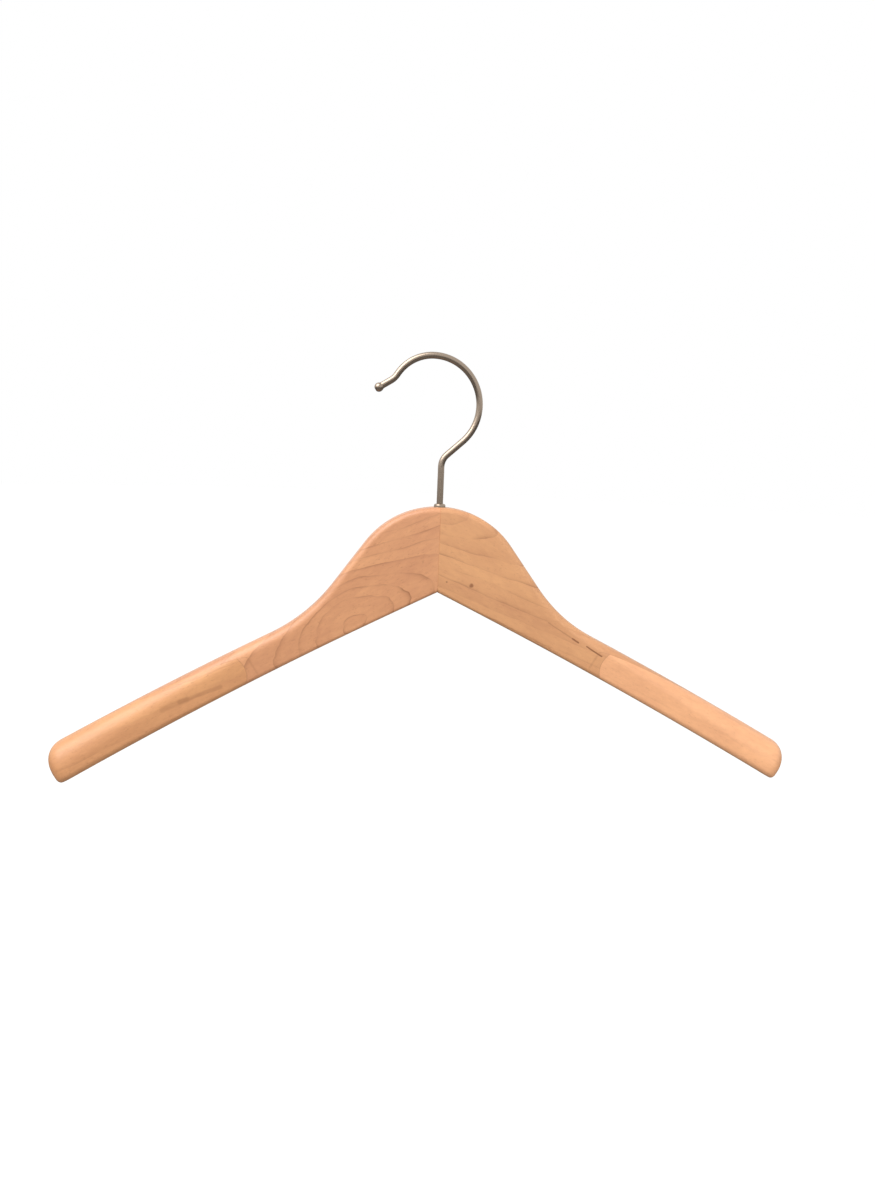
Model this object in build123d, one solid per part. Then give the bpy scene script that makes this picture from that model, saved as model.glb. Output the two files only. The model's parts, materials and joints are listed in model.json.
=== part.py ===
"""Contoured wooden clothes hanger with a swivelling wire hook.

Millimetres, +Z up, front of the hanger towards -Y. The origin is the rail seat: the
lowest point of the inside of the hook's bow, where the hanger rests on its rail. The
pieces are drawn round the swivel axis first, with the top of the wood at height 0, and
are moved to the rail seat when they are written.
"""

import os
from math import atan, cos, radians, sin, sqrt, tan

from build123d import *

# ---- wood: outline seen from the front ------------------------------------------------
HUMP_RADIUS = 51.0            # round of the hump under the hook
FLANK_ANGLE = 53.6            # steepest slope, between hump and shoulder (degrees)
HOLLOW_RADIUS = 95.5          # hollow that runs from the flank into the shoulder
SHOULDER_DROP = 27.0          # height lost where the shoulder line meets the middle
SHOULDER_ANGLE = 26.5         # slope of the shoulder line (degrees)
SHOULDER_RADIUS = 2900.0      # slight droop of the shoulder line
NOTCH_DEPTH = 47.6            # height of the wood at the mitre
LOWER_ANGLE = 26.3            # slope of the lower edge at the mitre (degrees)
LOWER_RADIUS = 4750.0         # slight droop of the lower edge
HALF_SPAN = 210.0             # swivel axis to the end of one arm
SECTION_PITCH = 15.0          # spacing of the cross-sections that an arm is lofted through

# ---- wood: outline seen from above -----------------------------------------------------
THICKNESS = 12.5              # at the middle
SWEEP_START = 42.0            # where the faces begin to curve forwards
FRONT_SWEEP_RADIUS = 715.0    # curve of the front face
BACK_SWEEP_RADIUS = 1900.0    # flatter curve of the back face, so the ends grow thick
LEFT_GLUE_DEPTH = 2.55        # glue face ahead of the front face, left arm
RIGHT_GLUE_DEPTH = 1.85       # glue face ahead of the front face, right arm
BLOCK_NOSE_THICKNESS = 0.2    # shoulder block where it runs out towards the middle
BLOCK_NOSE_RADIUS = 13.0      # round of that end, seen from the front

# ---- wood: rounded edges ---------------------------------------------------------------
EDGE_RADIUS = 3.0             # upper edges at the middle
SHOULDER_ROUND_ACROSS = 12.0  # upper edges at the ends, measured across the wood
SHOULDER_ROUND_DOWN = 14.5    # upper edges at the ends, measured down the face
LOWER_EDGE_RADIUS = 2.2       # lower edges at the middle
LOWER_END_RADIUS = 4.0        # lower edges at the ends
ROUND_WIDTH_RATIO = 0.49      # most of the width that one rounded edge takes
ROUND_HEIGHT_RATIO = 0.98     # most of the height that two rounded edges take together
LEAN_RUN = 100.0              # run over which the sections turn from upright to square
END_TOP_RADIUS = 10.0         # end of the arm: upper corner
END_LOWER_RADIUS = 3.2        # end of the arm: lower corner
END_SIDE_RADIUS = 8.5         # end of the arm: front and back
END_TURN_STEP = 15            # degrees of that corner between two sections

# ---- hook --------------------------------------------------------------------------------
WIRE_DIAMETER = 3.6
SHANK_RISE = 22.2             # straight shank above the wood
ELBOW_RADIUS = 8.6
ELBOW_ANGLE = 48.0            # lean of the wire after the elbow (degrees)
LEAN_LENGTH = 11.3            # straight wire between elbow and bow
BOW_RADIUS = 25.8             # bow, from the lean to the top
NOSE_RADIUS = 23.3            # bow, from the top to the mouth
NOSE_ANGLE = 57.5
LIP_RADIUS = 10.5             # reverse bend at the mouth
LIP_ANGLE = 26.0
LIP_LENGTH = 7.4              # straight wire from the reverse bend to the headed tip
TIP_DIAMETER = 4.9            # headed tip
TIP_FLAT_DIAMETER = 2.2       # flat left by the header's die
TIP_NECK = 1.4                # length over which the tip draws down to the wire
TIP_NECK_SLOPE = 0.25         # how steeply it meets the wire

# ---- swivel ------------------------------------------------------------------------------
SWIVEL_CLEARANCE = 0.05       # wire in bush, on the radius
BUSH_WALL = 0.75
BUSH_LENGTH = 14.0
FLANGE_DIAMETER = 6.5
FLANGE_HEIGHT = 1.8
FLANGE_ROUND = 1.0            # rounded upper edge
FLANGE_SEAT = 0.15            # depth of the spot face that seats the flange
SPOT_CLEARANCE = 0.1          # spot face round the flange, on the radius
BARB_COUNT = 3
BARB_HEIGHT = 0.2
BARB_PITCH = 3.2
BARB_LENGTH = 1.6
WASHER_THICKNESS = 0.5
WASHER_CLEARANCE = 0.1        # washer in its bore and round the wire, on the radius
PEEN_DIAMETER = 4.9           # end of the wire, hammered over below the washer
PEEN_HEIGHT = 1.3
PEEN_RIM = 0.65               # height of its straight rim
PEEN_FACE_DIAMETER = 3.9      # face left by the hammer
END_PLAY = 0.05
BORE_SPARE = 2.0              # empty bore below the peened end
DRILL_POINT_ANGLE = 118.0

# ---- mitre dowels ------------------------------------------------------------------------
DOWEL_DIAMETER = 6.0
DOWEL_LENGTH = 24.0
DOWEL_HEIGHTS = (-27.0, -38.5)
DOWEL_CHAMFER = 0.8
DOWEL_END_SPACE = 0.4         # glue space beyond each end of a dowel
FLUTE_COUNT = 8
FLUTE_RADIUS = 0.3

WIRE_RADIUS = WIRE_DIAMETER / 2
BUSH_BORE_RADIUS = WIRE_RADIUS + SWIVEL_CLEARANCE
BUSH_RADIUS = BUSH_BORE_RADIUS + BUSH_WALL
WASHER_TOP = -BUSH_LENGTH
PEEN_TOP = WASHER_TOP - WASHER_THICKNESS - END_PLAY
SHANK_END = PEEN_TOP - PEEN_HEIGHT
BORE_END = SHANK_END - BORE_SPARE

# the hook's bow, worked out along the wire from the shank
ELBOW = radians(ELBOW_ANGLE)
LEAN_END_X = ELBOW_RADIUS * (1 - cos(ELBOW)) + LEAN_LENGTH * sin(ELBOW)
LEAN_END_Z = SHANK_RISE + ELBOW_RADIUS * sin(ELBOW) + LEAN_LENGTH * cos(ELBOW)
BOW_X = LEAN_END_X - BOW_RADIUS * cos(ELBOW)
BOW_Z = LEAN_END_Z + BOW_RADIUS * sin(ELBOW)
RAIL_SEAT = Location((-BOW_X, 0, -(BOW_Z + BOW_RADIUS - WIRE_RADIUS)))


# ---- outlines of the wood ------------------------------------------------------------------
def bent_line(x, slope, radius):
    """Height lost over x by a line that starts at a slope and bends down on an arc."""
    return x * tan(slope) + x * x / (2 * radius * cos(slope) ** 3)


def top_of_wood(x):
    """Height and slope of the upper edge at the distance x from the mitre."""
    flank, shoulder = radians(FLANK_ANGLE), radians(SHOULDER_ANGLE)
    hump_end = HUMP_RADIUS * sin(flank)
    hump_end_z = -HUMP_RADIUS * (1 - cos(flank))
    meet = (hump_end_z + hump_end * tan(flank) + SHOULDER_DROP) / (tan(flank) - tan(shoulder))
    run = HOLLOW_RADIUS * tan((flank - shoulder) / 2)
    hollow_start = meet - run * cos(flank)
    hollow_end = meet + run * cos(shoulder)
    hollow_x = hollow_start + HOLLOW_RADIUS * sin(flank)
    hollow_end_z = -SHOULDER_DROP - hollow_end * tan(shoulder)
    if x <= hump_end:
        return sqrt(HUMP_RADIUS**2 - x * x) - HUMP_RADIUS, atan(x / sqrt(HUMP_RADIUS**2 - x * x))
    if x <= hollow_start:
        return hump_end_z - (x - hump_end) * tan(flank), flank
    if x <= hollow_end:
        rise = sqrt(HOLLOW_RADIUS**2 - (hollow_x - x) ** 2)
        return hollow_end_z + HOLLOW_RADIUS * cos(shoulder) - rise, atan((hollow_x - x) / rise)
    along = x - hollow_end
    slope = atan(tan(shoulder) + along / (SHOULDER_RADIUS * cos(shoulder) ** 3))
    return hollow_end_z - bent_line(along, shoulder, SHOULDER_RADIUS), slope


def bottom_of_wood(x):
    """Height of the lower edge at the distance x from the mitre."""
    return -NOTCH_DEPTH - bent_line(x, radians(LOWER_ANGLE), LOWER_RADIUS)


def swept(x, radius):
    """How far a face has curved forwards at the distance x from the mitre."""
    return max(0.0, x - SWEEP_START) ** 2 / (2 * radius)


# the end of the arm is square to the shoulder, and its rounded corner reaches the half span
END_SLOPE = top_of_wood(HALF_SPAN)[1]
END_TOP_X = HALF_SPAN + END_TOP_RADIUS * (cos(END_SLOPE) + sin(END_SLOPE) - 1)
END_DEPTH = (top_of_wood(END_TOP_X)[0] - bottom_of_wood(END_TOP_X)) * cos(END_SLOPE)
FULL_LEAN = END_DEPTH * sin(END_SLOPE)


# ---- one cross-section of an arm -----------------------------------------------------------
def rounded_section(front, back, low, high, upper, lower, plane):
    """A four-sided face with quarter-ellipse corners, (across, down) for each corner."""
    soft = 0.5523             # handle of a quarter ellipse drawn as one Bezier curve
    across, down = upper
    lower_across, lower_down = lower
    corners = [
        ((front, low), (0, lower_down), (lower_across, 0)),
        ((front, high), (0, -down), (across, 0)),
        ((back, high), (0, -down), (-across, 0)),
        ((back, low), (0, lower_down), (-lower_across, 0)),
    ]
    edges = []
    starts, ends = [], []
    for index, (corner, along_face, along_edge) in enumerate(corners):
        first, last = (along_face, along_edge) if index in (1, 3) else (along_edge, along_face)
        start = Vector(corner[0] + first[0], corner[1] + first[1])
        end = Vector(corner[0] + last[0], corner[1] + last[1])
        tip = Vector(*corner)
        edges.append(Bezier(start, start + (tip - start) * soft, end + (tip - end) * soft, end))
        starts.append(start)
        ends.append(end)
    for index in range(4):
        edges.append(Line(ends[index], starts[(index + 1) % 4]))
    return plane * make_face(Wire(edges))


def arm_section(top_x, inset_top=0.0, inset_low=0.0, inset_side=0.0):
    """The arm cut through its upper edge at top_x; the insets shape the rounded end."""
    share = min(1.0, top_x / LEAN_RUN)
    low_x = top_x - FULL_LEAN * share * share * (3 - 2 * share)
    top_z, slope = top_of_wood(top_x)
    low_z = bottom_of_wood(low_x)
    height = sqrt((top_x - low_x) ** 2 + (top_z - low_z) ** 2)
    up = Vector((top_x - low_x) / height, 0, (top_z - low_z) / height)
    outward = Vector(up.Z, 0, -up.X)
    plane = Plane(Vector(low_x, 0, low_z), (0, 1, 0), outward)

    middle_x = (top_x + low_x) / 2
    front = -THICKNESS / 2 - swept(middle_x, FRONT_SWEEP_RADIUS) + inset_side
    back = THICKNESS / 2 - swept(middle_x, BACK_SWEEP_RADIUS) - inset_side
    low, high = inset_low, height - inset_top
    grown = min(1.0, top_x / HALF_SPAN) ** 2
    stretch = 1 / cos(slope - atan(up.X / up.Z))
    across = EDGE_RADIUS + (SHOULDER_ROUND_ACROSS - EDGE_RADIUS) * grown
    down = (EDGE_RADIUS + (SHOULDER_ROUND_DOWN - EDGE_RADIUS) * grown) * stretch
    lower = LOWER_EDGE_RADIUS + (LOWER_END_RADIUS - LOWER_EDGE_RADIUS) * grown
    widest, tallest = ROUND_WIDTH_RATIO * (back - front), ROUND_HEIGHT_RATIO * (high - low)
    fit = min(1.0, widest / max(across, lower), tallest / (down + lower))
    return rounded_section(
        front, back, low, high, (across * fit, down * fit), (lower * fit, lower * fit), plane
    )


def circle_inset(radius, distance):
    """How far a rounded corner has drawn in at the distance from the end."""
    return radius - sqrt(radius**2 - max(0.0, radius - distance) ** 2)


def arm_blank():
    """One arm and its shoulder block as a single shape, for the +X side."""
    round_start = END_TOP_X - END_TOP_RADIUS * cos(END_SLOPE)
    count = round(round_start / SECTION_PITCH)
    body = loft([arm_section(round_start * index / count) for index in range(count + 1)])
    rounded = []
    for turn in range(0, 91, END_TURN_STEP):
        distance = END_TOP_RADIUS * (1 - sin(radians(turn)))
        rounded.append(
            arm_section(
                END_TOP_X - distance * cos(END_SLOPE),
                circle_inset(END_TOP_RADIUS, distance),
                circle_inset(END_LOWER_RADIUS, distance),
                circle_inset(END_SIDE_RADIUS, distance),
            )
        )
    return body + loft(rounded)


# ---- swivel pieces: all turned about the swivel axis ---------------------------------------
def turned(points):
    """A solid of revolution from (radius, height) points."""
    outline = Polyline([(radius, 0, height) for radius, height in points], close=True)
    return revolve(make_face(outline), Axis.Z)


def bush_outside():
    """Outline of the bush from below the flange to its end, barbs included."""
    points = [(BUSH_RADIUS, -FLANGE_SEAT)]
    for index in range(BARB_COUNT):
        barb = -FLANGE_SEAT - BARB_PITCH * (index + 1)
        points += [(BUSH_RADIUS, barb), (BUSH_RADIUS + BARB_HEIGHT, barb)]
        points.append((BUSH_RADIUS, barb - BARB_LENGTH))
    return points + [(BUSH_RADIUS, -BUSH_LENGTH)]


def make_swivel_bush():
    flange = FLANGE_DIAMETER / 2
    sleeve = turned(
        [(BUSH_BORE_RADIUS, -FLANGE_SEAT)] + bush_outside() + [(BUSH_BORE_RADIUS, -BUSH_LENGTH)]
    )
    ring = Pos(0, 0, -FLANGE_SEAT) * extrude(
        Circle(flange) - Circle(BUSH_BORE_RADIUS), FLANGE_HEIGHT + FLANGE_SEAT
    )
    rim = ring.edges().filter_by(GeomType.CIRCLE).sort_by(SortBy.RADIUS)[-2:]
    ring = fillet(rim.sort_by(Axis.Z)[-1], FLANGE_ROUND)
    return sleeve + ring


def make_thrust_washer():
    outer = BUSH_RADIUS - WASHER_CLEARANCE
    inner = WIRE_RADIUS + WASHER_CLEARANCE
    washer = extrude(Circle(outer) - Circle(inner), WASHER_THICKNESS)
    return Pos(0, 0, WASHER_TOP - WASHER_THICKNESS) * washer


def swivel_bore():
    """Everything the hook's fittings need cut out of the wood."""
    point = BUSH_RADIUS / tan(radians(DRILL_POINT_ANGLE / 2))
    hole = turned(
        [(0, FLANGE_HEIGHT)]
        + [(BUSH_RADIUS, FLANGE_HEIGHT)]
        + bush_outside()
        + [(BUSH_RADIUS, BORE_END), (0, BORE_END - point)]
    )
    spot = Pos(0, 0, -FLANGE_SEAT) * extrude(
        Circle(FLANGE_DIAMETER / 2 + SPOT_CLEARANCE), FLANGE_HEIGHT
    )
    return hole + spot


# ---- hook -----------------------------------------------------------------------------------
def wire_path():
    """Centreline from the peened end up the shank, round the bow and out to the lip."""
    shank = Line((0, PEEN_TOP), (0, SHANK_RISE))
    path = [shank]
    bends = [
        (ELBOW_RADIUS, -ELBOW_ANGLE, LEAN_LENGTH),
        (BOW_RADIUS, 90 + ELBOW_ANGLE, 0),
        (NOSE_RADIUS, NOSE_ANGLE, 0),
        (LIP_RADIUS, -LIP_ANGLE, LIP_LENGTH),
    ]
    for radius, angle, straight in bends:
        path.append(JernArc(path[-1] @ 1, path[-1] % 1, radius, angle))
        if straight:
            path.append(Line(path[-1] @ 1, path[-1] @ 1 + (path[-1] % 1) * straight))
    return Plane.XZ * Wire(path)


def headed_tip(end, heading):
    """The headed end of the wire: a ball drawn out to the wire, with a small flat."""
    ball = TIP_DIAMETER / 2
    flat = TIP_FLAT_DIAMETER / 2
    reach = sqrt(ball**2 - flat**2)
    neck = sqrt(ball**2 - WIRE_RADIUS**2)
    side = sin(radians(45)) * ball
    root = -neck - TIP_NECK
    outline = [
        Line((0, reach), (flat, reach)),
        ThreePointArc((flat, reach), (side, side), (ball, 0)),
        Spline([(ball, 0), (WIRE_RADIUS, root)], tangents=[(0, -1), (-TIP_NECK_SLOPE, -1)]),
        Line((WIRE_RADIUS, root), (0, root)),
        Line((0, root), (0, reach)),
    ]
    shape = revolve(make_face(Wire(outline)), Axis.Y)
    seat = Plane(end, x_dir=(0, 1, 0), z_dir=heading)
    return seat * Rot(90, 0, 0) * shape


def make_hook():
    path = wire_path()
    wire = sweep(Plane(path @ 0, z_dir=path % 0) * Circle(WIRE_RADIUS), path)
    peen = PEEN_DIAMETER / 2
    head = turned(
        [(0, PEEN_TOP), (peen, PEEN_TOP), (peen, PEEN_TOP - PEEN_RIM)]
        + [(PEEN_FACE_DIAMETER / 2, SHANK_END), (0, SHANK_END)]
    )
    return wire + head + headed_tip(path @ 1, path % 1)


# ---- dowels ----------------------------------------------------------------------------------
def make_mitre_dowels():
    section = Circle(DOWEL_DIAMETER / 2)
    section -= PolarLocations(DOWEL_DIAMETER / 2, FLUTE_COUNT) * Circle(FLUTE_RADIUS)
    dowel = extrude(section, DOWEL_LENGTH / 2, both=True)
    cone = DOWEL_DIAMETER / 2 + DOWEL_LENGTH / 2 - DOWEL_CHAMFER
    pointed = turned([(0, -cone), (cone, 0), (0, cone)])
    dowel = dowel & pointed
    return [Pos(0, 0, height) * Rot(0, 90, 0) * dowel for height in DOWEL_HEIGHTS]


def dowel_holes():
    length = DOWEL_LENGTH + 2 * DOWEL_END_SPACE
    return [
        Pos(0, 0, height) * Rot(0, 90, 0) * Cylinder(DOWEL_DIAMETER / 2, length)
        for height in DOWEL_HEIGHTS
    ]


# ---- arms and shoulder blocks ------------------------------------------------------------------
def split_at_glue_face(blank, depth):
    """The arm behind the flat glue face and the shoulder block in front of it."""
    reach = 4 * HALF_SPAN
    face = -THICKNESS / 2 - depth
    nose = SWEEP_START + sqrt(2 * FRONT_SWEEP_RADIUS * (depth + BLOCK_NOSE_THICKNESS))
    middle_x = nose + BLOCK_NOSE_RADIUS
    middle_z = (top_of_wood(middle_x)[0] + bottom_of_wood(middle_x)) / 2
    outer = Pos(middle_x + reach / 2, face - reach / 2, 0) * Box(reach, reach, reach)
    round_nose = Pos(middle_x, face - reach / 2, middle_z) * Rot(90, 0, 0) * Cylinder(
        BLOCK_NOSE_RADIUS, reach
    )
    ahead = outer + round_nose
    return blank - ahead, blank & ahead


def make_wood():
    blank = arm_blank()
    right_arm, right_block = split_at_glue_face(blank, RIGHT_GLUE_DEPTH)
    left_arm, left_block = split_at_glue_face(blank, LEFT_GLUE_DEPTH)
    cuts = [swivel_bore()] + dowel_holes()
    return {
        "right_arm": right_arm - cuts,
        "left_arm": mirror(left_arm, Plane.YZ) - cuts,
        "right_shoulder_block": right_block,
        "left_shoulder_block": mirror(left_block, Plane.YZ),
    }


def write(name, solids):
    """Move a piece from the swivel axis to the rail seat and write it."""
    solids = solids if isinstance(solids, list) else [solids]
    placed = [RAIL_SEAT * solid for solid in solids]
    export_step(placed[0] if len(placed) == 1 else Compound(children=placed), f"parts/{name}.step")


def main():
    os.makedirs("parts", exist_ok=True)
    pieces = make_wood()
    pieces["mitre_dowels"] = make_mitre_dowels()
    pieces["hook"] = make_hook()
    pieces["swivel_bush"] = make_swivel_bush()
    pieces["thrust_washer"] = make_thrust_washer()
    for name, solids in pieces.items():
        write(name, solids)


main()
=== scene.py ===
"""Contoured wooden clothes hanger with a swivelling wire hook: its surfaces and its stage.

Metres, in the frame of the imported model: the origin is the rail seat inside the hook's bow,
+Z is up and the front of the hanger faces -Y. The wood and the hook are drawn round the
swivel axis, with the top of the wood at height 0, and are moved to where the hook's joint
lies. A board's figure is placed in millimetres from that same point.
"""

import json
from collections import namedtuple
from math import atan, atan2, cos, hypot, pi, radians, sin, sqrt, tan

import bmesh
import bpy
from bpy.props import FloatProperty, FloatVectorProperty, IntProperty, PointerProperty
from mathutils import Matrix, Vector


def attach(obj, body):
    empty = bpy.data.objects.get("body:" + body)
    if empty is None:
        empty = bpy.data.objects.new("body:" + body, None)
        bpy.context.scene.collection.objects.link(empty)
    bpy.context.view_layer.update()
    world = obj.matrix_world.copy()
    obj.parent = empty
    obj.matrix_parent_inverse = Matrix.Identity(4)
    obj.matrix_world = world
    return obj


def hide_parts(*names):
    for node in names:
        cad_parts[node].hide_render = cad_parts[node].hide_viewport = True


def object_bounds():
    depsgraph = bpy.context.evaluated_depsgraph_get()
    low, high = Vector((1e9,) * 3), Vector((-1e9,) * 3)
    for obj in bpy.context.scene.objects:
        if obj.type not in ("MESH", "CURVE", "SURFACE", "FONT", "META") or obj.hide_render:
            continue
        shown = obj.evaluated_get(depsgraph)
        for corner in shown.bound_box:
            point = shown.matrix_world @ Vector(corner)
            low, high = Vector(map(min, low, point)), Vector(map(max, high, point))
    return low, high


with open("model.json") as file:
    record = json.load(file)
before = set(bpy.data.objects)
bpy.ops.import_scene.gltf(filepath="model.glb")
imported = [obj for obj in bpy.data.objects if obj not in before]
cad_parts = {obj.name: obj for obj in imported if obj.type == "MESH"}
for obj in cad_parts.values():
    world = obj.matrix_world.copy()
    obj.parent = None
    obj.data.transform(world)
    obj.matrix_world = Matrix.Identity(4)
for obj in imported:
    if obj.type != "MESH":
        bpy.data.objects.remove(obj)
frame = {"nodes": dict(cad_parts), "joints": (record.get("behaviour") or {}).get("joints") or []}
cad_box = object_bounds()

bl_info = {
    "name": "Wooden Clothes Hanger",
    "version": (1, 0, 0),
    "blender": (4, 5, 0),
    "location": "3D View > Sidebar > Hanger",
    "description": "Dresses the packed clothes hanger in lacquered wood and satin nickel",
    "category": "Object",
}

MM = 0.001
SWIVEL = Vector(frame["joints"][0]["pos_m"])
HANGER_BODY = "hanger_body"
HOOK_BODY = "hook"


# ---- sizes, colours and light that a user would change ----
def linear(code):
    """A colour written as sRGB hex, in the linear values that a shader takes."""
    channels = [int(code[index : index + 2], 16) / 255 for index in (1, 3, 5)]
    return tuple(c / 12.92 if c <= 0.04045 else ((c + 0.055) / 1.055) ** 2.4 for c in channels)


def length(name, description, millimetres):
    """A length property with its default given in millimetres."""
    return FloatProperty(
        name=name, description=description, default=millimetres * MM, min=0.0,
        unit="LENGTH", subtype="DISTANCE", precision=5,
    )


def turn(name, description, degrees):
    """An angle property with its default given in degrees."""
    return FloatProperty(
        name=name, description=description, default=radians(degrees), subtype="ANGLE"
    )


def colour(name, description, code):
    """A colour property with its default given as sRGB hex."""
    return FloatVectorProperty(
        name=name, description=description, default=linear(code), size=3,
        subtype="COLOR", min=0.0, max=1.0,
    )


class HangerWoodSizes(bpy.types.PropertyGroup):
    """Outline, thickness and rounding of the two arms."""

    hump_radius: length("Hump radius", "Round of the hump under the hook", 51.0)
    flank_angle: turn("Flank angle", "Steepest slope, between hump and shoulder", 53.6)
    hollow_radius: length("Hollow radius", "Hollow between flank and shoulder", 95.5)
    shoulder_drop: length("Shoulder drop", "Height lost where the shoulder meets the middle", 27.0)
    shoulder_angle: turn("Shoulder angle", "Slope of the shoulder", 26.5)
    shoulder_radius: length("Shoulder droop", "Radius of the shoulder's slight droop", 2900.0)
    notch_depth: length("Notch depth", "Height of the wood at the mitre", 47.6)
    lower_angle: turn("Lower angle", "Slope of the lower edge at the mitre", 26.3)
    lower_radius: length("Lower droop", "Radius of the lower edge's slight droop", 4750.0)
    half_span: length("Half span", "Swivel axis to the end of one arm", 210.0)
    thickness: length("Thickness", "Thickness of the wood at the middle", 12.5)
    sweep_start: length("Sweep start", "Where the faces begin to curve forwards", 42.0)
    front_sweep: length("Front sweep radius", "Curve of the front face", 715.0)
    back_sweep: length("Back sweep radius", "Flatter curve of the back face", 1900.0)
    left_glue_depth: length("Left glue depth", "Glue face ahead of the front face", 2.55)
    right_glue_depth: length("Right glue depth", "Glue face ahead of the front face", 1.85)
    nose_thickness: length("Block nose thickness", "Shoulder block where it runs out", 0.2)
    nose_radius: length("Block nose radius", "Round of that end seen from the front", 13.0)
    edge_radius: length("Edge radius", "Upper edges at the middle", 3.0)
    round_across: length("Shoulder round across", "Upper edges at the ends, across", 12.0)
    round_down: length("Shoulder round down", "Upper edges at the ends, down the face", 14.5)
    lower_edge: length("Lower edge radius", "Lower edges at the middle", 2.2)
    lower_end: length("Lower end radius", "Lower edges at the ends", 4.0)
    end_top: length("End top radius", "End of the arm, upper corner", 10.0)
    end_low: length("End lower radius", "End of the arm, lower corner", 3.2)
    end_side: length("End side radius", "End of the arm, front and back", 8.5)
    lean_run: length("Lean run", "Run over which sections turn square to the arm", 100.0)
    mitre_bevel: length("Mitre bevel", "Fine sanded edge at the mitre", 0.12)
    dowel_diameter: length("Dowel diameter", "Holes across the mitre", 6.0)
    dowel_hole: length("Dowel hole", "Length of the holes across the mitre", 24.8)
    upper_dowel: length("Upper dowel", "Depth of the upper dowel", 27.0)
    lower_dowel: length("Lower dowel", "Depth of the lower dowel", 38.5)


class HangerHookSizes(bpy.types.PropertyGroup):
    """Bends of the hook's wire and the bush that it turns in."""

    wire_diameter: length("Wire diameter", "Diameter of the wire", 3.6)
    shank_rise: length("Shank rise", "Straight shank above the wood", 22.2)
    elbow_radius: length("Elbow radius", "Bend at the top of the shank", 8.6)
    elbow_angle: turn("Elbow angle", "Lean of the wire after the elbow", 48.0)
    lean_length: length("Lean length", "Straight wire between elbow and bow", 11.3)
    bow_radius: length("Bow radius", "Bow, from the lean to the top", 25.8)
    nose_radius: length("Nose radius", "Bow, from the top to the mouth", 23.3)
    nose_angle: turn("Nose angle", "Turn of the bow past its top", 57.5)
    lip_radius: length("Lip radius", "Reverse bend at the mouth", 10.5)
    lip_angle: turn("Lip angle", "Turn of the reverse bend", 26.0)
    lip_length: length("Lip length", "Straight wire to the headed tip", 7.4)
    tip_diameter: length("Tip diameter", "Headed tip", 4.9)
    tip_flat: length("Tip flat", "Flat left by the header's die", 2.2)
    neck_blend: length("Neck blend", "How softly the tip runs into the wire", 0.8)
    peen_diameter: length("Peen diameter", "Hammered-over end below the washer", 4.9)
    peen_height: length("Peen height", "Height of the hammered-over end", 1.3)
    peen_depth: length("Peen depth", "Top of the hammered-over end below the wood", 14.55)
    bush_bore: length("Bush bore", "Bore of the bush", 3.7)
    bush_wall: length("Bush wall", "Wall of the bush", 0.75)
    bush_length: length("Bush length", "Length of the bush in the wood", 14.0)
    flange_diameter: length("Flange diameter", "Collar on the wood", 6.5)
    flange_height: length("Flange height", "Collar above the wood", 1.8)
    flange_seat: length("Flange seat", "Depth of the spot face", 0.15)
    flange_round: length("Flange round", "Rounded upper edge of the collar", 1.0)
    spot_clearance: length("Spot clearance", "Spot face round the collar", 0.1)
    barb_height: length("Barb height", "Barbs that hold the bush", 0.2)
    barb_pitch: length("Barb pitch", "Spacing of the barbs", 3.2)
    barb_length: length("Barb length", "Tapered length of one barb", 1.6)
    barb_count: IntProperty(name="Barbs", description="Barbs on the bush", default=3, min=0)
    bore_spare: length("Bore spare", "Empty bore below the hammered-over end", 2.0)


class HangerFinish(bpy.types.PropertyGroup):
    """Tones of the lacquered wood and of the metal."""

    left_arm: colour("Left arm", "Wood of the left arm", "#D89B70")
    right_arm: colour("Right arm", "Wood of the right arm", "#D99F70")
    left_block: colour("Left block", "Wood of the left shoulder block", "#D99D6C")
    right_block: colour("Right block", "Wood of the right shoulder block", "#EDAF80")
    growth_line: colour("Growth line", "Thin line at the end of a year's growth", "#945E3E")
    fleck: colour("Fleck", "Rays and pores", "#A8704C")
    knot: colour("Knot", "Pin knots and pith", "#8A5636")
    nickel: colour("Nickel", "Satin nickel plate", "#A49484")
    zinc: colour("Zinc", "Zinc plate of the hidden washer", "#B9BCBE")


class HangerStage(bpy.types.PropertyGroup):
    """Camera, lamps and floor."""

    lens: FloatProperty(
        name="Lens", description="Focal length for a frame 36 mm high", default=24.735,
        unit="CAMERA",
    )
    key_power: FloatProperty(name="Key", description="Soft light above", default=29.0, unit="POWER")
    fill_power: FloatProperty(name="Fill", description="Soft light in front", default=9.0, unit="POWER")
    ambient: FloatProperty(name="Ambient", description="Light from all round", default=0.49)
    drop: length("Floor drop", "Floor below the hanger", 420.0)
    floor: colour("Floor", "Grey floor", "#8A8886")


# ---- outline of the wood ----
def bent_line(x, slope, radius):
    """Height lost over x by a line that starts at a slope and bends down on an arc."""
    return x * tan(slope) + x * x / (2 * radius * cos(slope) ** 3)


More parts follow.
